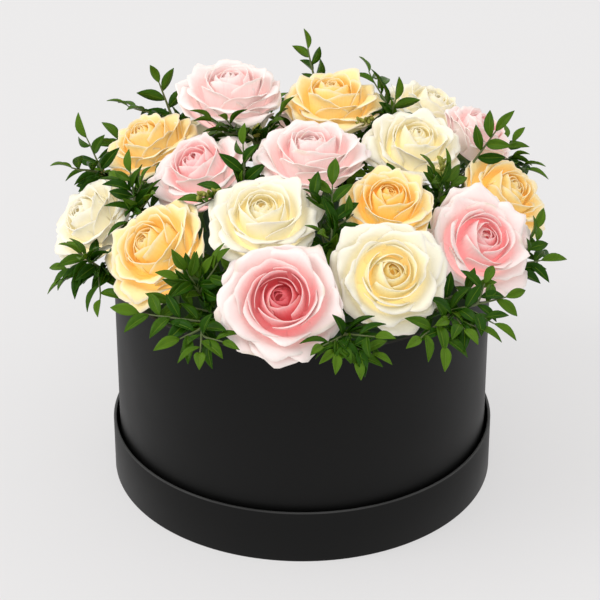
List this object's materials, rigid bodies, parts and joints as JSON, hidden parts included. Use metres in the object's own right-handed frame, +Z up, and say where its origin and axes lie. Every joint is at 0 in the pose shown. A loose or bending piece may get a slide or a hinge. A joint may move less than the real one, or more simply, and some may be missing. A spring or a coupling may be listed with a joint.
{
  "type": "rose box",
  "caption": "Round black board box, standing in its upturned lid and filled with pink, cream and peach roses among leafy sprays.",
  "frame": {"origin": "centre of the flat underside of the lid that the box stands in", "axes": "+Z up, -Y towards the side that the picture shows, +X to its right"},
  "size_m": [0.353, 0.349, 0.2711],
  "materials": {
    "box_board": "board covered in matte black paper",
    "liner": "thin pale plastic",
    "foam": "dark green wet floral foam",
    "stem": "green, satin",
    "leaf": "dark green, waxy",
    "pink_petals": "soft petals, pale pink at the rims and deeper in the heart",
    "white_petals": "soft petals, cream with a yellow heart",
    "peach_petals": "soft petals, peach with a golden heart"
  },
  "bodies": {
    "root": {"bloom_01_pink": "pink_petals", "bloom_02_peach": "peach_petals", "bloom_03_white": "white_petals", "bloom_04_pink": "pink_petals", "bloom_05_peach": "peach_petals", "bloom_06_pink": "pink_petals", "bloom_07_pink": "pink_petals", "bloom_08_white": "white_petals", "bloom_09_peach": "peach_petals", "bloom_10_white": "white_petals", "bloom_11_peach": "peach_petals", "bloom_12_white": "white_petals", "bloom_13_peach": "peach_petals", "bloom_14_pink": "pink_petals", "bloom_15_pink": "pink_petals", "bloom_16_white": "white_petals", "bloom_17_pink": "pink_petals", "bloom_18_white": "white_petals", "box_body": "box_board", "foam": "foam", "lid_under_box": "box_board", "liner": "liner", "spray_back_left": "leaf", "spray_back_middle": "leaf", "spray_back_right": "leaf", "spray_back_right_low": "leaf", "spray_front": "leaf", "spray_front_left_high": "leaf", "spray_front_left_low": "leaf", "spray_front_right": "leaf", "spray_left_back": "leaf", "spray_left_gap": "leaf", "spray_left_low": "leaf", "spray_left_side": "leaf", "spray_middle_back": "leaf", "spray_middle_front": "leaf", "spray_middle_left": "leaf", "spray_right_back": "leaf", "spray_right_back_gap": "leaf", "spray_right_gap": "leaf", "spray_right_low": "leaf", "spray_top": "leaf", "stem_01": "stem", "stem_02": "stem", "stem_03": "stem", "stem_04": "stem", "stem_05": "stem", "stem_06": "stem", "stem_07": "stem", "stem_08": "stem", "stem_09": "stem", "stem_10": "stem", "stem_11": "stem", "stem_12": "stem", "stem_13": "stem", "stem_14": "stem", "stem_15": "stem", "stem_16": "stem", "stem_17": "stem", "stem_18": "stem"}
  },
  "joints": []
}
